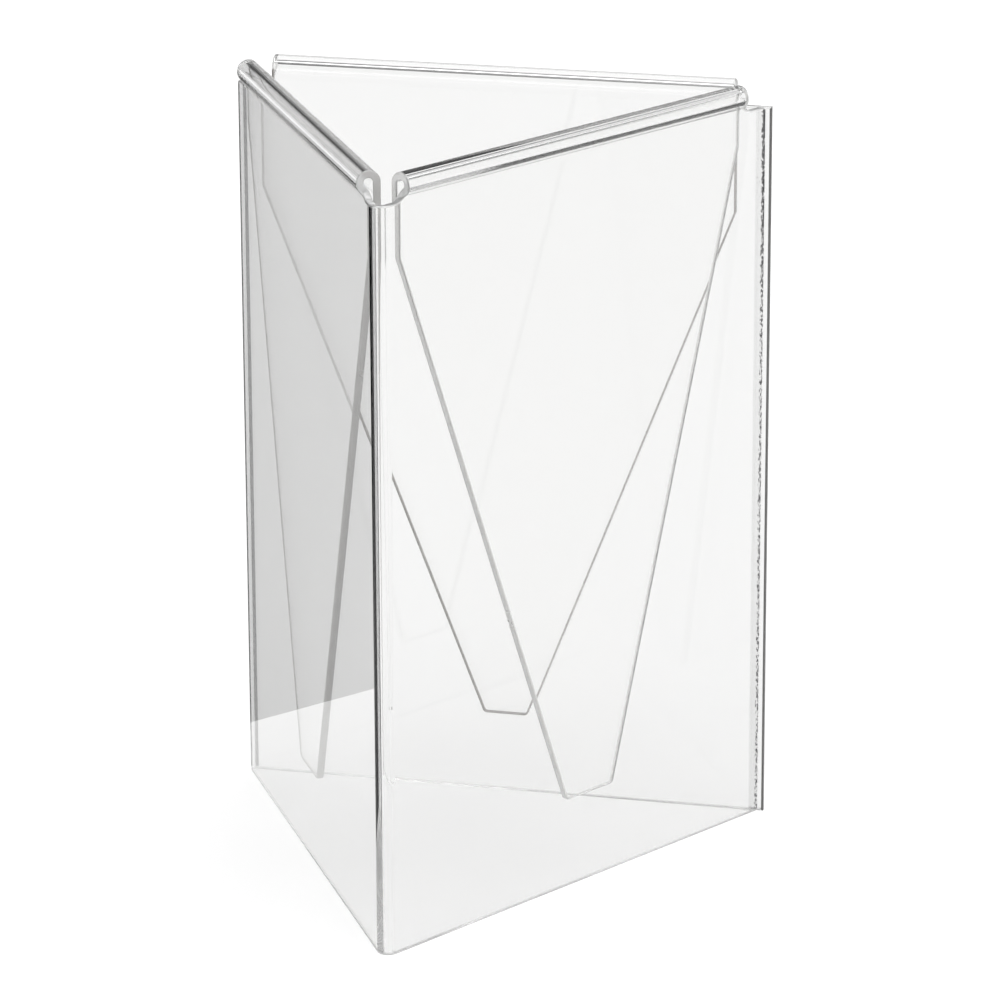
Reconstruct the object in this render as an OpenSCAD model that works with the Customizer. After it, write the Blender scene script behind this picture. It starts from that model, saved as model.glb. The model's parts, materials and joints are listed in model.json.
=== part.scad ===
// Three-sided table-top card holder.
// One clear acrylic sheet is folded into a triangular tube: two corners are heat-bent and the third is
// cemented. The top of each wall is rolled outwards, over and down the inside, where it ends in a long
// tapered tongue that presses a card against the wall.
// Each wall is drawn in its own wall frame: X runs along the wall, Y = 0 is its outer face with +Y
// outwards, and Z is up from the table.

/* [Holder] */
// Side of the triangle, between the corners where the walls' outer faces would meet
side = 133; // [125:1:160]
// Height of the tops of the rolled edges above the table
height = 185; // [170:1:240]
// Thickness of the acrylic sheet
sheet = 1.8; // [1.5:0.1:2]

/* [Corners] */
// Outer radius of the two heat-bent corners
bend_r = 2.75; // [2.75:0.25:6]
// How far the back wall's end runs past the outer face of the right wall at the cemented corner
seam_lip = 0.4; // [0.2:0.1:0.6]
// Thickness of the film of cement
cement_film = 0.15; // [0.1:0.05:0.2]
// Width of the bead of cement in the inside of the cemented corner
cement_bead = 0.8; // [0.5:0.1:1]
// How far the cement stops short of the sheet's top and bottom edges
cement_inset = 0.5; // [0.3:0.1:1]

/* [Rolled edges] */
// Outer radius of the roll
roll_r = 2.85; // [2.8:0.05:3.4]
// Distance from the triangle's corners to the ends of each roll
roll_end = 9.5; // [9:0.5:14]
// Radius, at mid-sheet, of the reverse bend that leads from the wall out into the roll
reverse_r = 3.1; // [2.4:0.1:4]
// Shift of the back wall's roll and tongue towards the cemented corner
back_shift = 1.3; // [0:0.1:1.5]

/* [Tongues] */
// Gap for a card between each wall and its tongue
card_gap = 0.6; // [0.4:0.1:0.7]
// Width of the line at the foot of each roll where the tongue starts to flex
flex_gap = 0.3; // [0.2:0.1:0.4]
// Height of the tongues' tips above the table
tip_height = 21; // [15:1:30]
// Width of the tips of the left and right tongues
side_tip_w = 16; // [10:1:20]
// Shift of the tips of the left and right tongues away from the front corner
side_tip_shift = 5.5; // [0:0.5:8]
// Depth of the left and right tongues' shoulders nearest the front corner, below the tops of the rolls
side_near_drop = 20; // [14:1:24]
// Depth of the left and right tongues' shoulders furthest from the front corner
side_far_drop = 15; // [12:1:24]
// Width of the back tongue's tip
back_tip_w = 11; // [8:1:20]
// Depth of the back tongue's shoulders
back_drop = 32; // [14:1:34]

/* [Hidden] */
$fn = 64;

// Clear acrylic and the greyer film of cement
ACRYLIC = [0.86, 0.91, 0.93, 0.4];
CEMENT = [0.5, 0.52, 0.52, 0.9];

// Turns that carry the back wall's frame to the other walls
BACK = 0;
RIGHT = -120;
LEFT = 120;

// Distance from the triangle's centre to the outer face of each wall
inradius = side / (2 * sqrt(3));
// Length of wall taken up by a bend on each side of its corner
bend_reach = bend_r * sqrt(3);
// Half the length of each roll and of the top of each tongue
roll_half = side / 2 - roll_end;

// Roll: radius at mid-sheet, and centre of the roll in the wall frame
roll_mid_r = roll_r - sheet / 2;
roll_y = roll_r - 2 * sheet - card_gap;
roll_z = height - roll_r;
// Reverse bend: its centre, from which the roll's centre is the sum of their radii away. It starts at
// the height of the walls and corner bends, which show as saddles between the rolls.
reverse_y = reverse_r - sheet / 2;
reverse_rise = sqrt(pow(reverse_r + roll_mid_r, 2) - pow(reverse_y - roll_y, 2));
wall_h = roll_z - reverse_rise;
// Angle of the line between the two centres, where the reverse bend hands over to the roll
handover = atan2(reverse_rise, roll_y - reverse_y);

// Outer face of the tongues
tongue_y = -sheet - card_gap;

// The origin is under the middle of the whole holder. The left roll reaches furthest to -X, the end of
// the back wall to +X, the back roll to +Y and the front bend to -Y.
roll_reach = inradius + roll_y + roll_r;
min_x = roll_half * cos(LEFT) - roll_reach * sin(LEFT);
max_x = side / 2 + seam_lip;
min_y = bend_r - 2 * inradius;
max_y = roll_reach;

// Puts a shape drawn in a wall frame on the wall at the given turn, shifted along it if need be
module on_wall(turn, shift = 0) {
    translate([-(min_x + max_x) / 2, -(min_y + max_y) / 2, 0])
        rotate([0, 0, turn]) translate([shift, inradius, 0]) children();
}

// Extrudes an outline drawn in X and Z by one sheet, with its outer face at the given Y
module sheet_at(outer_y) {
    translate([0, outer_y, 0]) rotate([90, 0, 0]) linear_extrude(height = sheet) children();
}

// Flat wall from x0 to x1 under its roll
module wall_panel(x0, x1) {
    translate([x0, -sheet, 0]) cube([x1 - x0, sheet, wall_h]);
}

// An annular sector as long as the roll: the axis lies along X, and angles start at +Y and turn up to +Z
module sheet_arc(mid_r, from_angle, sweep) {
    rotate([90, 0, 90]) translate([0, 0, -roll_half]) rotate([0, 0, from_angle])
        rotate_extrude(angle = sweep)
            translate([mid_r - sheet / 2, 0]) square([sheet, 2 * roll_half]);
}

// The rolled top of a wall: a reverse bend outwards, then round, over and down to the flex line
module roll() {
    flex_z = roll_z - flex_gap / 2;
    union() {
        translate([0, reverse_y, wall_h]) sheet_arc(reverse_r, handover, 180 - handover);
        translate([0, roll_y, roll_z]) sheet_arc(roll_mid_r, handover - 180, 360 - handover);
        translate([-roll_half, tongue_y - sheet, flex_z]) cube([2 * roll_half, sheet, flex_gap / 2]);
    }
}

// A tongue, from the flex line down to its tip. Its shoulders are below the roll's ends, at depths
// drop_a on the -X side and drop_b on the +X side, and its tip is shifted along the wall.
module tongue(drop_a, drop_b, tip_w, tip_shift) {
    top_z = roll_z - flex_gap * 3 / 2;
    sheet_at(tongue_y) polygon([
        [-roll_half, top_z], [-roll_half, height - drop_a],
        [tip_shift - tip_w / 2, tip_height], [tip_shift + tip_w / 2, tip_height],
        [roll_half, height - drop_b], [roll_half, top_z]
    ]);
}

// A heat-bent corner at the -X end of a wall frame: 120 degrees of sheet as high as the walls
module corner_bend() {
    translate([bend_reach - side / 2, -bend_r, 0]) rotate([0, 0, 90])
        rotate_extrude(angle = 120) translate([bend_r - sheet, 0]) square([sheet, wall_h]);
}

// The right wall starts at the cement film with an end cut parallel to the back wall, so its -X end is
// trimmed along the film's face
module right_wall_shape() {
    difference() {
        wall_panel(-side / 2, side / 2 - bend_reach);
        translate([-side / 2, 0, -1]) rotate([0, 0, -60])
            translate([-side, -side, 0]) cube([2 * side, side + sheet + cement_film, height]);
    }
}

// Film of cement between the right wall's end and the back wall, with its bead inside the corner
module cement_shape() {
    along = 1 / sin(60);
    slant = sheet / tan(60);
    film_x = sheet * along - side / 2;
    wall_x = (sheet + cement_film) * along - side / 2;
    translate([0, 0, cement_inset]) linear_extrude(height = wall_h - 2 * cement_inset)
        polygon([
            [film_x, 0], [wall_x, 0], [wall_x + slant, -sheet], [wall_x + slant + cement_bead, -sheet],
            [film_x + slant + cement_bead * cos(60), -sheet - cement_bead * sin(60)]
        ]);
}

module left_wall() {
    color(ACRYLIC) on_wall(LEFT) wall_panel(bend_reach - side / 2, side / 2 - bend_reach);
}

module right_wall() {
    color(ACRYLIC) on_wall(RIGHT) right_wall_shape();
}

module back_wall() {
    color(ACRYLIC) on_wall(BACK) wall_panel(bend_reach - side / 2, side / 2 + seam_lip);
}

module front_bend() {
    color(ACRYLIC) on_wall(LEFT) corner_bend();
}

module left_bend() {
    color(ACRYLIC) on_wall(BACK) corner_bend();
}

module seam_cement() {
    color(CEMENT) on_wall(RIGHT) cement_shape();
}

module left_roll() {
    color(ACRYLIC) on_wall(LEFT) roll();
}

module right_roll() {
    color(ACRYLIC) on_wall(RIGHT) roll();
}

module back_roll() {
    color(ACRYLIC) on_wall(BACK, back_shift) roll();
}

module left_tongue() {
    color(ACRYLIC) on_wall(LEFT) tongue(side_near_drop, side_far_drop, side_tip_w, side_tip_shift);
}

module right_tongue() {
    color(ACRYLIC) on_wall(RIGHT) tongue(side_far_drop, side_near_drop, side_tip_w, -side_tip_shift);
}

module back_tongue() {
    color(ACRYLIC) on_wall(BACK, back_shift) tongue(back_drop, back_drop, back_tip_w, 0);
}

left_wall();
right_wall();
back_wall();
front_bend();
left_bend();
seam_cement();
left_roll();
right_roll();
back_roll();
left_tongue();
right_tongue();
back_tongue();
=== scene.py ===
"""Looks of a three-sided acrylic card holder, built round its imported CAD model.

The real holder is one clear sheet, cut flat and then heat-bent. The pieces here are made the same way:
each starts as a flat blank with softly rounded cut edges, and is then wrapped round its bends. Blanks
are drawn in millimetres, with x along the wall, v up the sheet and w through its thickness.
"""

import json
import math

import bmesh
import bpy
from mathutils import Matrix, Vector


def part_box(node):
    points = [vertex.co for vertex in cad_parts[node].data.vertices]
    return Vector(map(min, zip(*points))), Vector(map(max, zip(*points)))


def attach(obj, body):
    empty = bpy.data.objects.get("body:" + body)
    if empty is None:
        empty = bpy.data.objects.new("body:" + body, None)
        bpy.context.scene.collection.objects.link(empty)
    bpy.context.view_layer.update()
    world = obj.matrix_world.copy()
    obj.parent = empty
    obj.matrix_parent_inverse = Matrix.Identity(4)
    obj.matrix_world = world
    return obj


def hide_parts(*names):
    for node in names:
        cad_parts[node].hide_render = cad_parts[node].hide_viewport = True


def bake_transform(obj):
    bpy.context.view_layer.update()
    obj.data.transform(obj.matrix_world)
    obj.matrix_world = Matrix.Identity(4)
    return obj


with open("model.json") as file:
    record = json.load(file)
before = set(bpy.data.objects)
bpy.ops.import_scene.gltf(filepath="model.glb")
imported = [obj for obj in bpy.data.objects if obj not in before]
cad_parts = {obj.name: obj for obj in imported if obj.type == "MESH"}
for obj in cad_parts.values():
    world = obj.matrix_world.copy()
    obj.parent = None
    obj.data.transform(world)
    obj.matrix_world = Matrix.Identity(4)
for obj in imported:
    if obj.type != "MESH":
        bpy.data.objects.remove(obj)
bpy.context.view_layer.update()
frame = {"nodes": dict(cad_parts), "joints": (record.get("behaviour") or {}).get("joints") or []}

MM = 1000.0

# ---------------------------------------------------------------- sizes, from the frame, in mm


def box_mm(node):
    """Lowest and highest corner of a CAD node, in millimetres."""
    lo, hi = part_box(node)
    return lo * MM, hi * MM


back_wall_lo, back_wall_hi = box_mm("back_wall")
back_roll_lo, back_roll_hi = box_mm("back_roll")
front_bend_lo, front_bend_hi = box_mm("front_bend")

HINGES = {joint["child"]: Vector(joint["pos_m"]) * MM for joint in frame["joints"]}
CENTRE = sum(HINGES.values(), Vector()) / len(HINGES)

SHEET = back_wall_hi.y - back_wall_lo.y
WALL_H = back_wall_hi.z
INRADIUS = back_wall_hi.y - CENTRE.y
SIDE = INRADIUS * 2 * math.sqrt(3)
BEND_R = (front_bend_hi.x - front_bend_lo.x) / math.sqrt(3)
WALL_END = SIDE / 2 - BEND_R * math.sqrt(3)
LIP_END = back_wall_hi.x - CENTRE.x

ROLL_HALF = (back_roll_hi.x - back_roll_lo.x) / 2
ROLL_SHIFT = {"back": (back_roll_hi.x + back_roll_lo.x) / 2 - CENTRE.x, "right": 0.0, "left": 0.0}
ROLL_MID_R = (back_roll_hi.y - back_roll_lo.y - SHEET) / 2
ROLL_Y = (back_roll_hi.y + back_roll_lo.y) / 2 - back_wall_hi.y
ROLL_Z = back_roll_hi.z - SHEET / 2 - ROLL_MID_R
FLEX_Z = CENTRE.z

# The reverse bend leads from the wall out into the roll and touches both, which fixes its radius
roll_rise = ROLL_Z - WALL_H
roll_shift = ROLL_Y + SHEET / 2
REVERSE_R = (roll_rise**2 - ROLL_MID_R**2 + roll_shift**2) / (2 * (ROLL_MID_R + roll_shift))
REVERSE_Y = REVERSE_R - SHEET / 2
HANDOVER = math.atan2(roll_rise, ROLL_Y - REVERSE_Y)

# Distances up the sheet: end of the wall, of the reverse bend and of the roll, and the flex line
V_WALL = WALL_H
V_REVERSE = V_WALL + REVERSE_R * (math.pi - HANDOVER)
V_ROLL = V_REVERSE + ROLL_MID_R * (2 * math.pi - HANDOVER)
V_FLEX = V_ROLL + ROLL_Z - FLEX_Z

# The cement film lies between the right wall's slanted end and this strip of the back wall's inner face
CORNER = math.radians(60)
CEMENT_FILM = 0.15
CEMENT_BEAD = 0.8
SEAM_OUTER = SIDE / 2 - SHEET / math.tan(CORNER)
SEAM_STRIP = (SEAM_OUTER - SHEET / math.sin(CORNER) - CEMENT_BEAD, SEAM_OUTER)

# Looks only: how cut edges are rounded, and where the roll's ends flare into the saddles
EDGE_ROUND = 0.42
EDGE_STEPS = 5
FLARE_X = 2.6
FLARE_V = 3.4
FLARE_STEPS = 14
FACE_LEVEL = SHEET / 2 - EDGE_ROUND / 10
TIP_ROUND = 1.2
TIP_STEPS = 6
BEND_STEP = math.radians(4)
JOIN_ABOVE_SADDLE = 0.3
BLANK_MARGIN = 2.0
SAME_POINT = 1e-4

TURNS = {"back": 0.0, "right": math.radians(-120), "left": math.radians(120)}

# Material slots of a piece. The last slot holds painted shade, on the edges that show darkest and on a
# line down the
# left bend: how far round the bend the painted line starts, and how far along the left wall the tongue's
# edge is painted dark.
FACE, EDGE, JOIN, PAINTED_SHADE = range(4)
SHADE_LINE_START = 3.1
SHADE_EDGE_START = 5.0

# ---------------------------------------------------------------- wrapping the flat sheet


def sheet_profile(v):
    """Mid-sheet point (y, z), up-the-sheet direction and outer normal in a wall frame, at distance v."""
    if v <= V_WALL:
        return (-SHEET / 2, v), (0.0, 1.0), (1.0, 0.0)
    if v <= V_REVERSE:
        a = math.pi - (v - V_WALL) / REVERSE_R
        c, s = math.cos(a), math.sin(a)
        return (REVERSE_Y + REVERSE_R * c, WALL_H + REVERSE_R * s), (s, -c), (-c, -s)
    if v <= V_ROLL:
        a = HANDOVER - math.pi + (v - V_REVERSE) / ROLL_MID_R
        c, s = math.cos(a), math.sin(a)
        return (ROLL_Y + ROLL_MID_R * c, ROLL_Z + ROLL_MID_R * s), (-s, c), (c, s)
    return (ROLL_Y - ROLL_MID_R, ROLL_Z - (v - V_ROLL)), (0.0, -1.0), (-1.0, 0.0)


def to_row(turn, x, y, z):
    """A point in a wall frame, in the row frame."""
    c, s = math.cos(turn), math.sin(turn)
    out = INRADIUS + y
    return Vector((CENTRE.x + x * c - out * s, CENTRE.y + x * s + out * c, z))


def direction_to_row(turn, x, y, z):
    """A direction in a wall frame, in the row frame."""
    c, s = math.cos(turn), math.sin(turn)
    return Vector((x * c - y * s, x * s + y * c, z))


def wrap_on_wall(turn):
    """The mapping from a wall's blank to the row frame, for points and for normals."""

    def wrap(co, normal):
        (y, z), (up_y, up_z), (out_y, out_z) = sheet_profile(co.y)
        point = to_row(turn, co.x, y + co.z * out_y, z + co.z * out_z)
        ny = normal.y * up_y + normal.z * out_y
        nz = normal.y * up_z + normal.z * out_z
        return point, direction_to_row(turn, normal.x, ny, nz)

    return wrap


def wrap_on_corner(turn):
    """The same for the bend at the +X end of a wall, where the blank's x is the distance round it."""
    mid_r = BEND_R - SHEET / 2

    def wrap(co, normal):
        a = turn - co.x / mid_r
        centre = to_row(turn, WALL_END, -BEND_R, 0)
        out = Vector((-math.sin(a), math.cos(a), 0))
        along = Vector((math.cos(a), math.sin(a), 0))
        point = centre + out * (mid_r + co.z) + Vector((0, 0, co.y))
        return point, along * normal.x + Vector((0, 0, 1)) * normal.y + out * normal.z

    return wrap


# ---------------------------------------------------------------- flat blanks


def arc_points(cx, cy, rx, ry, start, end, steps):
    """Points round an elliptical arc, both ends included."""
    turns = [start + (end - start) * i / steps for i in range(steps + 1)]
    return [(cx + rx * math.cos(a), cy + ry * math.sin(a)) for a in turns]


def rounded_corner(before, corner, after, radius, steps):
    """Points that round one corner of an outline."""
    p, a, b = Vector(corner), Vector(before), Vector(after)
    to_a, to_b = (a - p).normalized(), (b - p).normalized()
    half = to_a.angle(to_b) / 2
    centre = p + (to_a + to_b).normalized() * radius / math.sin(half)
    first = p + to_a * radius / math.tan(half) - centre
    last = p + to_b * radius / math.tan(half) - centre
    sweep = first.angle_signed(last)
    points = []
    for i in range(steps + 1):
        points.append(centre + Matrix.Rotation(-sweep * i / steps, 2) @ first)
    return [tuple(q) for q in points]


def tongue_corners(wall):
    """Shoulders and tip corners of a wall's CAD tongue, as blank points, from right to left."""
    mesh = frame["nodes"][wall + "_tongue"].data
    turn = TURNS[wall]
    points = set()
    for vertex in mesh.vertices:
        rel = vertex.co * MM - CENTRE
        x = rel.x * math.cos(turn) + rel.y * math.sin(turn)
        points.add((round(x, 2), round(vertex.co.z * MM, 2)))
    tip_z = min(z for _, z in points)
    tips = [x for x, z in points if z < tip_z + 0.05]
    top_z = max(z for _, z in points)
    widest = max(x for x, _ in points) - 0.1
    narrowest = min(x for x, _ in points) + 0.1
    right = next((x, z) for x, z in points if x > widest and z < top_z - 1)
    left = next((x, z) for x, z in points if x < narrowest and z < top_z - 1)
    corners = [right, (max(tips), tip_z), (min(tips), tip_z), left]
    return [(x, V_ROLL + ROLL_Z - z) for x, z in corners]


def wall_outline(wall, x_min, x_max):
    """Blank of one wall with its roll and tongue, counter-clockwise from the bottom left."""
    right_shoulder, right_tip, left_tip, left_shoulder = tongue_corners(wall)
    right_end = ROLL_HALF + ROLL_SHIFT[wall]
    left_end = ROLL_HALF - ROLL_SHIFT[wall]
    flare = arc_points(FLARE_X, V_WALL + FLARE_V, FLARE_X, FLARE_V, -math.pi / 2, -math.pi, FLARE_STEPS)
    flare_right = [(right_end + x, v) for x, v in flare]
    flare_left = [(-left_end - x, v) for x, v in reversed(flare)]
    right_round = rounded_corner(right_shoulder, right_tip, left_tip, TIP_ROUND, TIP_STEPS)
    left_round = rounded_corner(right_tip, left_tip, left_shoulder, TIP_ROUND, TIP_STEPS)
    outline = [(x_min, 0), (x_max, 0), (x_max, V_WALL)]
    outline += flare_right + [right_shoulder] + right_round + left_round + [left_shoulder]
    return outline + flare_left + [(x_min, V_WALL)]


def inset_outline(outline, distance):
    """The outline moved inwards by a distance, with the outward normal at each point."""
    moved = []
    for i, point in enumerate(outline):
        p = Vector(point)
        e1 = (p - Vector(outline[i - 1])).normalized()
        e2 = (Vector(outline[(i + 1) % len(outline)]) - p).normalized()
        n1, n2 = Vector((e1.y, -e1.x)), Vector((e2.y, -e2.x))
        miter = (n1 + n2) / (1 + n1.dot(n2))
        moved.append((p - miter * distance, (n1 + n2).normalized()))
    return moved


def blank(outline):
    """A flat solid of one sheet's thickness with rounded cut edges. A layer holds its flat normals."""
    bm = bmesh.new()
    layer = bm.verts.layers.float_vector.new("flat_normal")
    rings = []
    turns = [math.pi / 2 * i / EDGE_STEPS for i in range(EDGE_STEPS + 1)]
    levels = [(a, 1) for a in turns] + [(a, -1) for a in reversed(turns)]
    for a, side in levels:
        w = side * (SHEET / 2 - EDGE_ROUND * (1 - math.cos(a)))
        ring = []
        for point, normal in inset_outline(outline, EDGE_ROUND * (1 - math.sin(a))):
            vert = bm.verts.new((point.x, point.y, w))
            out = normal * math.sin(a)
            vert[layer] = Vector((out.x, out.y, side * math.cos(a)))
            ring.append(vert)
        rings.append(ring)
    bm.faces.new(rings[0]).material_index = FACE
    bm.faces.new(list(reversed(rings[-1]))).material_index = FACE
    count = len(outline)
    for upper, lower in zip(rings, rings[1:]):
        for i in range(count):
            j = (i + 1) % count
            face = bm.faces.new((upper[i], lower[i], lower[j], upper[j]))
            face.material_index = EDGE
    return bm


def score(bm, points, normal):
    """Splits a blank's faces along parallel planes, so that it can bend there."""
    for point in points:
        geom = bm.verts[:] + bm.edges[:] + bm.faces[:]
        bmesh.ops.bisect_plane(bm, geom=geom, dist=SAME_POINT, plane_co=point, plane_no=normal)


def trim(bm, point, normal, material):
    """Cuts off what lies on a plane's normal side and closes the cut with one face."""
    geom = bm.verts[:] + bm.edges[:] + bm.faces[:]
    made = bmesh.ops.bisect_plane(
        bm, geom=geom, dist=SAME_POINT, plane_co=point, plane_no=normal, clear_outer=True
    )
    cut = [e for e in made["geom_cut"] if isinstance(e, bmesh.types.BMEdge)]
    bmesh.ops.edgeloop_fill(bm, edges=cut, mat_nr=material)


def steps_between(start, end, radius):
    """Distances from start to end at which a bend of that radius is scored."""
    count = max(2, round((end - start) / (radius * BEND_STEP)))
    return [start + (end - start) * i / count for i in range(count + 1)]


def build(name, bm, wrap, materials):
    """Wraps a blank and makes it an object, with exact normals so that clear bends look smooth."""
    layer = bm.verts.layers.float_vector["flat_normal"]
    bm.verts.index_update()
    normals = []
    for vert in bm.verts:
        point, normal = wrap(vert.co, vert[layer])
        vert.co = point / MM
        normals.append(normal.normalized())
    bm.normal_update()
    if bm.calc_volume(signed=True) < 0:
        bmesh.ops.reverse_faces(bm, faces=bm.faces)
    mesh = bpy.data.meshes.new(name)
    bm.to_mesh(mesh)
    bm.free()
    for material in materials:
        mesh.materials.append(material)
    loop_normals = []
    for polygon in mesh.polygons:
        polygon.use_smooth = True
        flat = polygon.material_index == JOIN
        for loop_index in polygon.loop_indices:
            vertex = mesh.loops[loop_index].vertex_index
            loop_normals.append(polygon.normal.copy() if flat else normals[vertex])
    mesh.normals_split_custom_set(loop_normals)
    obj = bpy.data.objects.new(name, mesh)
    bpy.context.scene.collection.objects.link(obj)
    return obj


# ---------------------------------------------------------------- materials


def new_material(name):
    """An empty node material."""
    material = bpy.data.materials.new(name)
    material.use_nodes = True
    material.node_tree.nodes.clear()
    return material


def node(tree, kind, **values):
    """Adds a node and sets its properties, or its inputs where the name is an input's."""
    made = tree.nodes.new(kind)
    for key, value in values.items():
        if key in made.inputs:
            made.inputs[key].default_value = value
        else:
            setattr(made, key, value)
    return made


def map_range(tree, from_min, from_max, to_min, to_max):
    """Adds a node that carries one range of values to another."""
    made = tree.nodes.new("ShaderNodeMapRange")
    made.inputs["From Min"].default_value = from_min
    made.inputs["From Max"].default_value = from_max
    made.inputs["To Min"].default_value = to_min
    made.inputs["To Max"].default_value = to_max
    return made


def clear_plastic(name, tint, clearness, roughness, roughness_spread, bump_scale, bump_strength):
    """Acrylic with faint handling marks. Lamps shine straight through it."""
    material = new_material(name)
    tree = material.node_tree
    links = tree.links
    out = tree.nodes.new("ShaderNodeOutputMaterial")
    mix = tree.nodes.new("ShaderNodeMixShader")
    path = tree.nodes.new("ShaderNodeLightPath")
    through = node(tree, "ShaderNodeBsdfTransparent", Color=(0.96, 0.96, 0.96, 1))
    plastic = tree.nodes.new("ShaderNodeBsdfPrincipled")
    plastic.inputs["Base Color"].default_value = tint
    plastic.inputs["IOR"].default_value = 1.49
    plastic.inputs["Transmission Weight"].default_value = clearness
    place = tree.nodes.new("ShaderNodeTexCoord")
    smudge = node(tree, "ShaderNodeTexNoise", Scale=45, Detail=5)
    spread = map_range(tree, 0.45, 0.75, roughness, roughness + roughness_spread)
    ripple = node(tree, "ShaderNodeTexNoise", Scale=bump_scale, Detail=2)
    bump = node(tree, "ShaderNodeBump", Strength=bump_strength, Distance=0.0001)
    links.new(place.outputs["Object"], smudge.inputs["Vector"])
    links.new(place.outputs["Object"], ripple.inputs["Vector"])
    links.new(smudge.outputs["Fac"], spread.inputs["Value"])
    links.new(spread.outputs["Result"], plastic.inputs["Roughness"])
    links.new(ripple.outputs["Fac"], bump.inputs["Height"])
    links.new(bump.outputs["Normal"], plastic.inputs["Normal"])
    links.new(path.outputs["Is Shadow Ray"], mix.inputs["Fac"])
    links.new(plastic.outputs["BSDF"], mix.inputs[1])
    links.new(through.outputs["BSDF"], mix.inputs[2])
    links.new(mix.outputs["Shader"], out.inputs["Surface"])
    return material


def unseen_join(name):
    """The dividing faces between pieces of the one sheet, where the real plastic has no surface."""
    material = new_material(name)
    tree = material.node_tree
    out = tree.nodes.new("ShaderNodeOutputMaterial")
    through = node(tree, "ShaderNodeBsdfTransparent", Color=(1, 1, 1, 1))
    tree.links.new(through.outputs["BSDF"], out.inputs["Surface"])
    return material


def cement_material(name):
    """Cured solvent cement: as clear as the acrylic that it joins, with specks of grey towards the
    outside of the seam, most of them near its top."""
    material = new_material(name)
    tree = material.node_tree
    links = tree.links
    out = tree.nodes.new("ShaderNodeOutputMaterial")
    mix = tree.nodes.new("ShaderNodeMixShader")
    clear = node(tree, "ShaderNodeBsdfTransparent", Color=(0.93, 0.93, 0.93, 1))
    flaw = tree.nodes.new("ShaderNodeBsdfPrincipled")
    flaw.inputs["Base Color"].default_value = (0.16, 0.16, 0.165, 1)
    flaw.inputs["Roughness"].default_value = 0.4
    place = tree.nodes.new("ShaderNodeTexCoord")
    stretch = tree.nodes.new("ShaderNodeMapping")
    stretch.inputs["Scale"].default_value = (1, 1, 0.5)
    specks = node(tree, "ShaderNodeTexNoise", Scale=2200, Detail=4)
    position = tree.nodes.new("ShaderNodeSeparateXYZ")
    outer_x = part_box("seam_cement")[1].x
    outward = map_range(tree, outer_x - 1.5 / MM, outer_x - 0.7 / MM, -0.16, 0.13)
    upward = map_range(tree, 0.125, 0.165, -0.11, 0)
    dirt = node(tree, "ShaderNodeMath", operation="ADD")
    more_dirt = node(tree, "ShaderNodeMath", operation="ADD")
    amount = map_range(tree, 0.5, 0.62, 0, 1)
    links.new(place.outputs["Object"], stretch.inputs["Vector"])
    links.new(stretch.outputs["Vector"], specks.inputs["Vector"])
    links.new(place.outputs["Object"], position.inputs["Vector"])
    links.new(position.outputs["X"], outward.inputs["Value"])
    links.new(specks.outputs["Fac"], dirt.inputs[0])
    links.new(outward.outputs["Result"], dirt.inputs[1])
    links.new(position.outputs["Z"], upward.inputs["Value"])
    links.new(dirt.outputs["Value"], more_dirt.inputs[0])
    links.new(upward.outputs["Result"], more_dirt.inputs[1])
    links.new(more_dirt.outputs["Value"], amount.inputs["Value"])
    links.new(amount.outputs["Result"], mix.inputs["Fac"])
    links.new(clear.outputs["BSDF"], mix.inputs[1])
    links.new(flaw.outputs["BSDF"], mix.inputs[2])
    links.new(mix.outputs["Shader"], out.inputs["Surface"])
    return material


acrylic = clear_plastic("clear_acrylic", (0.99, 0.99, 0.988, 1), 1.0, 0.0, 0.02, 60, 0.02)
sawn_edge = clear_plastic("sawn_edge", (0.78, 0.78, 0.77, 1), 0.62, 0.15, 0.2, 900, 0.2)
polished_edge = clear_plastic("flame_polished_edge", (0.88, 0.88, 0.875, 1), 0.66, 0.04, 0.1, 700, 0.15)
# Painted shade: a near-black end for the back wall, where it runs past the seam
painted_shade_end = clear_plastic("seam_end_painted_shade", (0.08, 0.08, 0.078, 1), 0.25, 0.3, 0.3, 900, 0.4)
# Painted shade: darker sawn edges for the back tongue and the far edge of the left tongue
painted_shade_edge = clear_plastic("sawn_edge_painted_shade", (0.36, 0.345, 0.33, 1), 0.35, 0.2, 0.2, 900, 0.3)
# Painted shade: a black tint for a strip of the left bend's outer face, a painted dark line
painted_shade_bend = clear_plastic("painted_shade_bend", (0.05, 0.05, 0.05, 1), 1.0, 0.0, 0.02, 60, 0.02)
join = unseen_join("dividing_face")

# Materials for the slots FACE, EDGE, JOIN and the painted shade slot
POLISHED_SHEET = [acrylic, polished_edge, join]
SEAMED_SHEET = [acrylic, polished_edge, join, painted_shade_end]
SAWN_SHEET = [acrylic, sawn_edge, join, painted_shade_edge]
BENT_SHEET = [acrylic, polished_edge, join, painted_shade_bend]

# ---------------------------------------------------------------- pieces of the sheet


def finish_piece(node_name):
    """Hides the CAD node that a piece replaces."""
    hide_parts(node_name)


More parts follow.
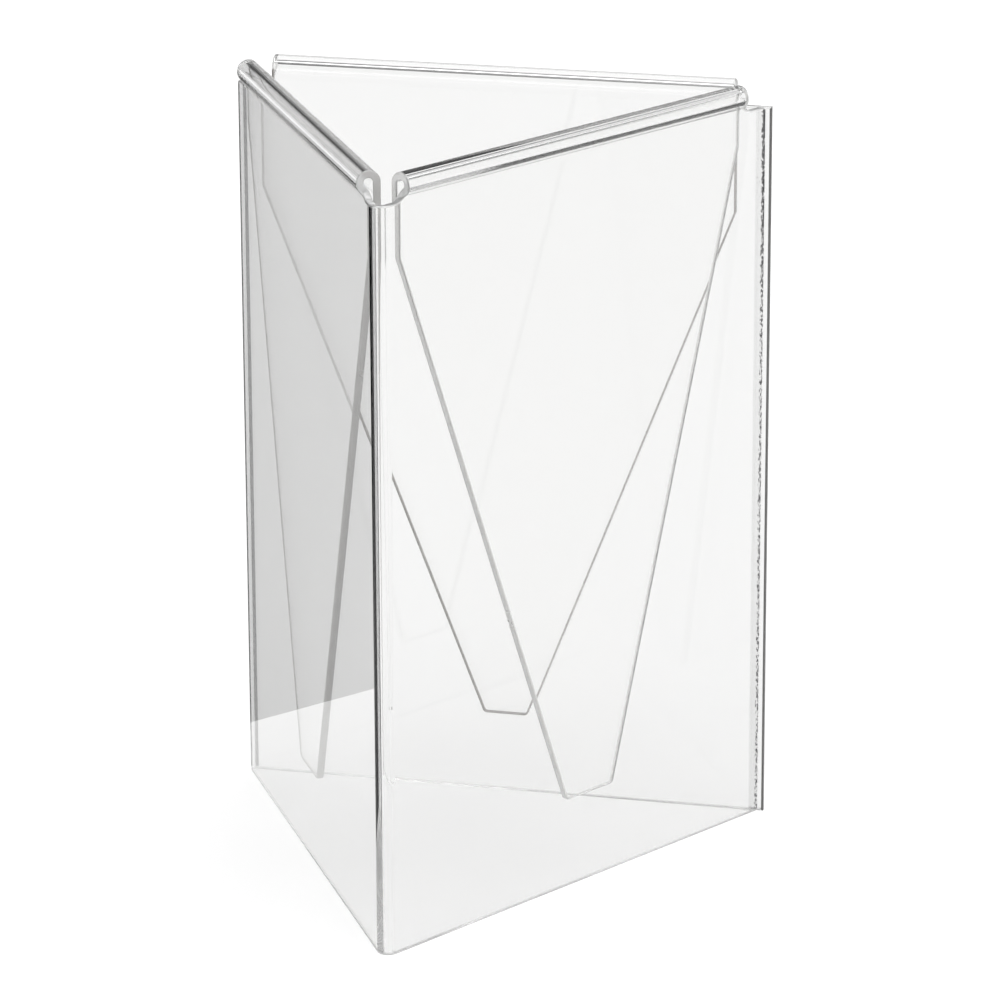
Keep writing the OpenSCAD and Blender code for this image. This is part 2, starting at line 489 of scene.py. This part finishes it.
def make_wall(wall):
    """Makes a wall, its roll and its tongue, each a blank cut to its own stretch of the sheet."""
    turn = TURNS[wall]
    wrap = wrap_on_wall(turn)
    seam_x = -SIDE / 2 + (SHEET + CEMENT_FILM) / math.sin(CORNER)
    x_min = -WALL_END - BLANK_MARGIN
    x_max = LIP_END if wall == "back" else WALL_END + BLANK_MARGIN
    if wall == "right":
        x_min = seam_x - BLANK_MARGIN
    outline = wall_outline(wall, x_min, x_max)
    v_join = V_WALL + JOIN_ABOVE_SADDLE
    bends = steps_between(V_WALL, V_REVERSE, REVERSE_R) + steps_between(V_REVERSE, V_ROLL, ROLL_MID_R)

    panel = blank(outline)
    trim(panel, (0, v_join, 0), (0, 1, 0), JOIN)
    score(panel, [(0, v, 0) for v in bends if v < v_join], (0, 1, 0))
    if wall == "back":
        score(panel, [(x, 0, 0) for x in SEAM_STRIP], (1, 0, 0))
        for face in panel.faces:
            middle = face.calc_center_median()
            at_end = middle.x > LIP_END - EDGE_ROUND and middle.y < V_WALL - EDGE_ROUND
            if SEAM_STRIP[0] < middle.x < SEAM_STRIP[1] and middle.z < -FACE_LEVEL:
                face.material_index = JOIN
            # The back wall's cut end past the seam is painted near-black, as painted shade
            if face.material_index == EDGE and at_end:
                face.material_index = PAINTED_SHADE
    if wall == "right":
        lean = SHEET / math.tan(CORNER)
        trim(panel, (seam_x, 0, SHEET / 2), (-SHEET, 0, -lean), JOIN)
    else:
        trim(panel, (-WALL_END, 0, 0), (-1, 0, 0), JOIN)
    if wall != "back":
        trim(panel, (WALL_END, 0, 0), (1, 0, 0), JOIN)
    sheet = SEAMED_SHEET if wall == "back" else POLISHED_SHEET
    panel = build(wall + "_wall_panel", panel, wrap, sheet)
    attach(panel, "shell")
    finish_piece(wall + "_wall")

    roll = blank(outline)
    trim(roll, (0, v_join, 0), (0, -1, 0), JOIN)
    trim(roll, (0, V_FLEX, 0), (0, 1, 0), JOIN)
    score(roll, [(0, v, 0) for v in bends if v > v_join], (0, 1, 0))
    roll = build(wall + "_rolled_edge", roll, wrap, POLISHED_SHEET)
    body = wall + "_tongue"
    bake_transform(roll)
    finish_piece(wall + "_roll")

    tongue = blank(outline)
    trim(tongue, (0, V_FLEX, 0), (0, -1, 0), JOIN)
    # Painted shade: every cut edge of the back tongue, and the left tongue's edge past a point along the
    # wall, is painted darker
    for face in tongue.faces:
        far = wall == "back" or wall == "left" and face.calc_center_median().x > SHADE_EDGE_START
        if face.material_index == EDGE and far:
            face.material_index = PAINTED_SHADE
    tongue = build(wall + "_card_tongue", tongue, wrap, SAWN_SHEET)
    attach(tongue, body)
    finish_piece(body)


def make_corner(name, turn):
    """Makes the heat-bent corner at the +X end of a wall."""
    length = (BEND_R - SHEET / 2) * math.radians(120)
    strip = blank([
        (-BLANK_MARGIN, 0), (length + BLANK_MARGIN, 0),
        (length + BLANK_MARGIN, V_WALL), (-BLANK_MARGIN, V_WALL),
    ])
    trim(strip, (0, 0, 0), (-1, 0, 0), JOIN)
    trim(strip, (length, 0, 0), (1, 0, 0), JOIN)
    scores = steps_between(0, length, BEND_R - SHEET / 2)[1:-1]
    score(strip, [(x, 0, 0) for x in scores], (1, 0, 0))
    # Painted shade: from a point round the left bend on, its outer face is painted black as a dark line
    if name == "left_bend":
        for face in strip.faces:
            middle = face.calc_center_median()
            outside = face.material_index == FACE and middle.z > FACE_LEVEL
            if outside and middle.x > SHADE_LINE_START:
                face.material_index = PAINTED_SHADE
    sheet = BENT_SHEET if name == "left_bend" else POLISHED_SHEET
    strip = build(name + "_corner", strip, wrap_on_corner(turn), sheet)
    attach(strip, "shell")
    finish_piece(name)


for wall_name in TURNS:
    make_wall(wall_name)
make_corner("front_bend", TURNS["right"])
make_corner("left_bend", TURNS["left"])

# The cement keeps its CAD shape
cement_node = frame["nodes"]["seam_cement"]
cement_node.data.materials.clear()
cement_node.data.materials.append(cement_material("solvent_cement"))

# ---------------------------------------------------------------- stage, light and camera

CAMERA_PLACE = Vector((0.2957, -1.1474, 0.4739))
CAMERA_AZIMUTH = math.radians(13.906)
CAMERA_ELEVATION = math.radians(17.83)
CAMERA_ROLL = math.radians(0.21)
CAMERA_LENS = 190.3

# Stage sizes in metres. The flag's nearest edge is where its reflection in the left wall ends.
FLOOR_SIDE = 12
FLAG_SIDE = 0.9
FLAG_EDGE = Vector((-0.46, 0.0277, 0.001))
FLAG_TURN = math.radians(7.3)


def stage_plane(name, side, location, turn, material):
    """A flat sheet of the studio, level with the floor."""
    mesh = bpy.data.meshes.new(name)
    half = side / 2
    corners = [(-half, -half, 0), (half, -half, 0), (half, half, 0), (-half, half, 0)]
    mesh.from_pydata(corners, [], [(0, 1, 2, 3)])
    mesh.materials.append(material)
    obj = bpy.data.objects.new(name, mesh)
    obj.location = location
    obj.rotation_euler.z = turn
    bpy.context.scene.collection.objects.link(obj)
    return obj


def floor_paint(name, seen_directly, seen_in_plastic):
    """Matte paint, paler where the camera sees it directly than through or in the plastic."""
    material = new_material(name)
    tree = material.node_tree
    out = tree.nodes.new("ShaderNodeOutputMaterial")
    mix = tree.nodes.new("ShaderNodeMixShader")
    path = tree.nodes.new("ShaderNodeLightPath")
    through = node(tree, "ShaderNodeBsdfDiffuse", Color=seen_in_plastic)
    direct = node(tree, "ShaderNodeBsdfDiffuse", Color=seen_directly)
    tree.links.new(path.outputs["Is Camera Ray"], mix.inputs["Fac"])
    tree.links.new(through.outputs["BSDF"], mix.inputs[1])
    tree.links.new(direct.outputs["BSDF"], mix.inputs[2])
    tree.links.new(mix.outputs["Shader"], out.inputs["Surface"])
    return material


def wide_light(name, towards, angle, strength):
    """A soft lamp so far away that it lights the whole floor evenly."""
    lamp = bpy.data.lights.new(name, "SUN")
    lamp.angle = math.radians(angle)
    lamp.energy = strength
    obj = bpy.data.objects.new(name, lamp)
    obj.rotation_euler = Vector(towards).to_track_quat("Z", "Y").to_euler()
    bpy.context.scene.collection.objects.link(obj)


floor_material = floor_paint("pale_floor", (0.97, 0.97, 0.97, 1), (0.81, 0.81, 0.81, 1))
stage_plane("floor", FLOOR_SIDE, (0, 0, 0), 0, floor_material)

# A black flag gives the left wall's reflection something dark to show, and nothing else sees it
flag_material = floor_paint("black_flag", (0.02, 0.02, 0.02, 1), (0.02, 0.02, 0.02, 1))
flag_place = FLAG_EDGE + Matrix.Rotation(FLAG_TURN, 3, "Z") @ Vector((0, FLAG_SIDE / 2, 0))
flag = stage_plane("black_flag", FLAG_SIDE, flag_place, FLAG_TURN, flag_material)
flag.visible_camera = False
flag.visible_diffuse = False
flag.visible_transmission = False
flag.visible_shadow = False

wide_light("overhead", (0.1, 0.1, 1), 80, 1.8)

# A bright room whose left end is dark
world = bpy.data.worlds.new("studio")
bpy.context.scene.world = world
world.use_nodes = True
room = world.node_tree
room_place = room.nodes.new("ShaderNodeTexCoord")
room_left = node(room, "ShaderNodeVectorMath", operation="DOT_PRODUCT")
room_left.inputs[1].default_value = (-0.93, 0.36, 0)
room_tone = map_range(room, 0.35, 0.65, 0.75, 0.04)
room_tone.interpolation_type = "SMOOTHSTEP"
room.links.new(room_place.outputs["Generated"], room_left.inputs[0])
room.links.new(room_left.outputs["Value"], room_tone.inputs["Value"])
room.links.new(room_tone.outputs["Result"], room.nodes["Background"].inputs["Strength"])
room.nodes["Background"].inputs["Color"].default_value = (1, 1, 1, 1)

camera_data = bpy.data.cameras.new("camera")
camera_data.lens = CAMERA_LENS
camera_data.sensor_width = 36
camera_data.clip_end = 50
camera = bpy.data.objects.new("camera", camera_data)
view = Vector((
    -math.sin(CAMERA_AZIMUTH) * math.cos(CAMERA_ELEVATION),
    math.cos(CAMERA_AZIMUTH) * math.cos(CAMERA_ELEVATION),
    -math.sin(CAMERA_ELEVATION),
))
turned = Matrix.Rotation(CAMERA_ROLL, 4, view) @ view.to_track_quat("-Z", "Y").to_matrix().to_4x4()
camera.matrix_world = Matrix.Translation(CAMERA_PLACE) @ turned
bpy.context.scene.collection.objects.link(camera)
bpy.context.scene.camera = camera

# Enough bounces for light that runs along inside the sheet
scene = bpy.context.scene
scene.view_settings.view_transform = "Standard"
scene.cycles.max_bounces = 72
scene.cycles.transmission_bounces = 64
scene.cycles.glossy_bounces = 42
scene.cycles.transparent_max_bounces = 24
